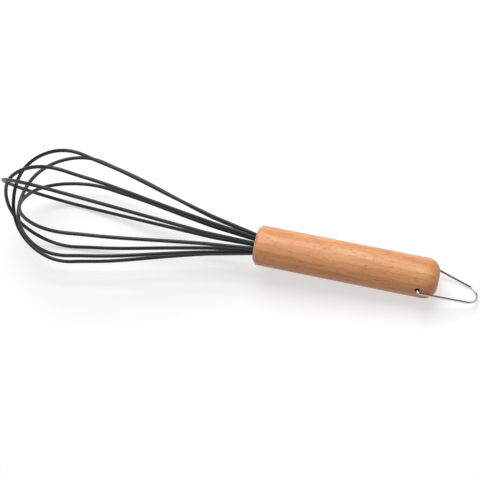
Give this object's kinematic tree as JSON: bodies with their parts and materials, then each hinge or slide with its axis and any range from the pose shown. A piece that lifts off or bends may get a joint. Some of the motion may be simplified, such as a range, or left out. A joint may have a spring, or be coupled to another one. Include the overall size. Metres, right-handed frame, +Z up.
{
  "type": "balloon whisk",
  "caption": "Balloon whisk lying at rest: nested coated wire loops held in a turned wooden handle, with a swinging wire hanging ring.",
  "frame": {"origin": "on the surface that the whisk lies on, below the middle of its bounding box", "axes": "+X along the whisk, from the tip of the balloon towards the handle's rear end; +Z up from the surface, with the whisk lying at rest on two wire loops and the handle's rear rim; +Y completes the right hand"},
  "size_m": [0.3156, 0.0769, 0.0738],
  "materials": {
    "wood": "fine sanded, lightly oiled beech",
    "plug_plastic": "matte",
    "core_steel": "drawn spring wire",
    "silicone": "satin silicone",
    "ring_wire": "polished stainless wire"
  },
  "bodies": {
    "whisk": {"handle": "wood", "wire_plug": "plug_plastic", "wire_core_1": "core_steel", "wire_core_2": "core_steel", "wire_core_3": "core_steel", "wire_core_4": "core_steel", "wire_core_5": "core_steel", "silicone_sleeve_1": "silicone", "silicone_sleeve_2": "silicone", "silicone_sleeve_3": "silicone", "silicone_sleeve_4": "silicone", "silicone_sleeve_5": "silicone"},
    "ring": {"hanging_ring": "ring_wire"}
  },
  "joints": [
    {"name": "ring_swing", "type": "hinge", "parent": "whisk", "child": "ring", "pos_m": [0.12088, -0.00314, 0.01328], "axis": [0.0408, -0.9149, 0.4017], "range_deg": [-128, 151]}
  ]
}
